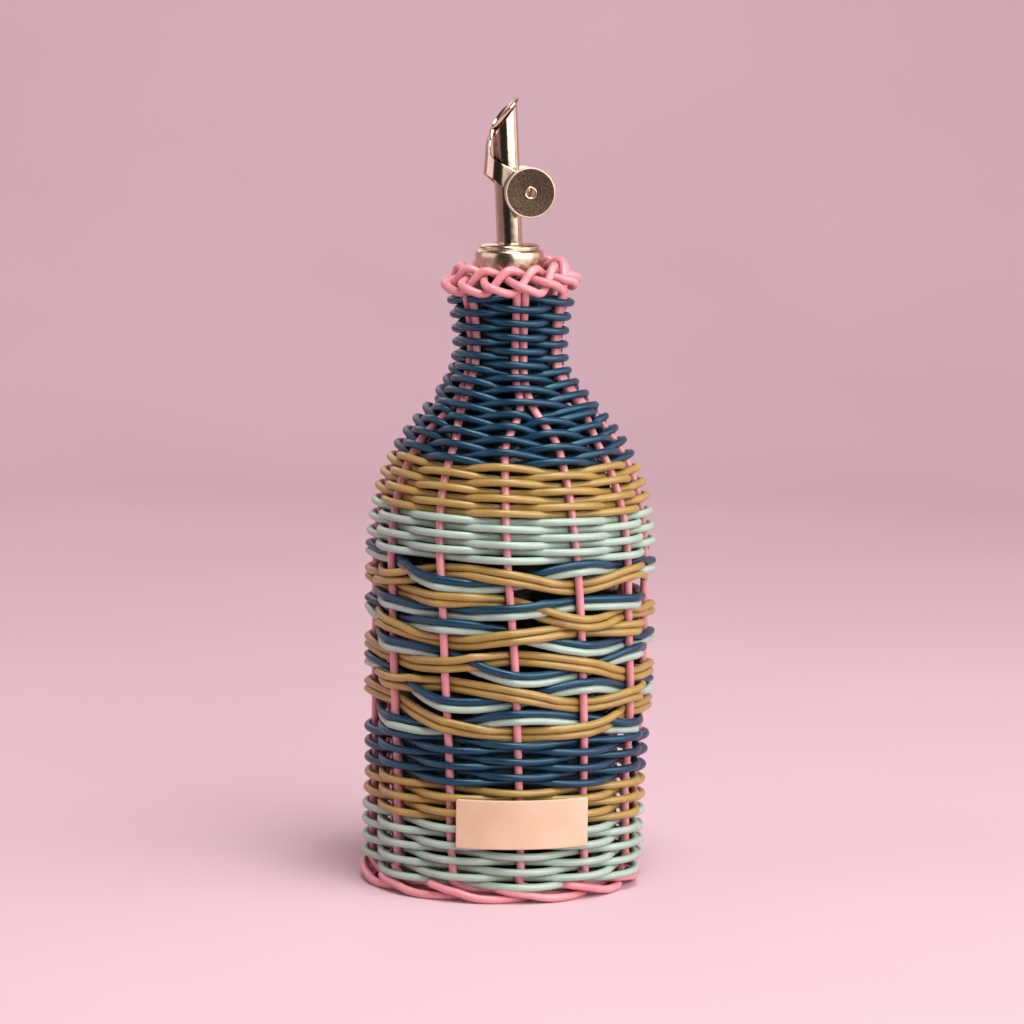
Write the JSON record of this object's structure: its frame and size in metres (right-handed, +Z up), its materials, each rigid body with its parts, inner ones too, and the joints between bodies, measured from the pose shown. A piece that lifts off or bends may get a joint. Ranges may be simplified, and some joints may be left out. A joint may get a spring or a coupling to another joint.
{
  "type": "oil pourer",
  "caption": "Glass oil bottle in a woven cane cover with a wave band and leather tag, closed by a steel pourer with a weighted flap.",
  "frame": {"origin": "centre of the foot border, on the table", "axes": "+Z up along the bottle, -Y towards the tag, -X the way the spout pours (turned 10 degrees towards -Y)"},
  "size_m": [0.093, 0.0936, 0.2496],
  "materials": {
    "glass": "clear, smooth",
    "cane_pink": "satin round cane",
    "cane_navy": "satin round cane",
    "cane_ochre": "satin round cane",
    "cane_mint": "satin round cane",
    "steel": "polished stainless steel",
    "weight": "tumbled steel, bright rim",
    "elastomer": "matt",
    "leather": "smooth, bare"
  },
  "bodies": {
    "bottle": {"glass_bottle": "glass", "foot_border": "cane_pink", "foot_mat": "cane_pink", "mouth_plait": "cane_pink", "leather_tag": "leather", "stake_01": "cane_pink", "stake_02": "cane_pink", "stake_03": "cane_pink", "stake_04": "cane_pink", "stake_05": "cane_pink", "stake_06": "cane_pink", "stake_07": "cane_pink", "stake_08": "cane_pink", "stake_09": "cane_pink", "stake_10": "cane_pink", "stake_11": "cane_pink", "stake_12": "cane_pink", "mint_foot_weaver_a": "cane_mint", "mint_foot_weaver_b": "cane_mint", "ochre_foot_weaver_a": "cane_ochre", "ochre_foot_weaver_b": "cane_ochre", "navy_foot_weaver_a": "cane_navy", "navy_foot_weaver_b": "cane_navy", "mint_weaver_a": "cane_mint", "mint_weaver_b": "cane_mint", "ochre_weaver_a": "cane_ochre", "ochre_weaver_b": "cane_ochre", "navy_shoulder_weaver_a": "cane_navy", "navy_shoulder_weaver_b": "cane_navy", "navy_neck_weaver_a": "cane_navy", "navy_neck_weaver_b": "cane_navy", "wave_ochre_a": "cane_ochre", "wave_ochre_b": "cane_ochre", "wave_ochre_c": "cane_ochre", "wave_ochre_d": "cane_ochre", "wave_mint_a": "cane_mint", "wave_navy_a": "cane_navy", "wave_mint_b": "cane_mint", "wave_navy_b": "cane_navy"},
    "pourer": {"stopper": "elastomer", "collar_cap": "steel", "spout_tube": "steel", "pivot_stud_front": "steel", "pivot_stud_back": "steel"},
    "flap": {"flap": "steel", "weight_front": "weight", "weight_back": "weight", "rivet_front": "steel", "rivet_back": "steel"}
  },
  "joints": [
    {"name": "pourer_lift", "type": "slide", "parent": "bottle", "child": "pourer", "axis": [0, 0, 1], "range_m": [0, 0.06]},
    {"name": "flap_hinge", "type": "hinge", "parent": "pourer", "child": "flap", "pos_m": [-0.00095, -0.00017, 0.22198], "axis": [0.1736, -0.9848, 0], "range_deg": [0, 60]}
  ]
}
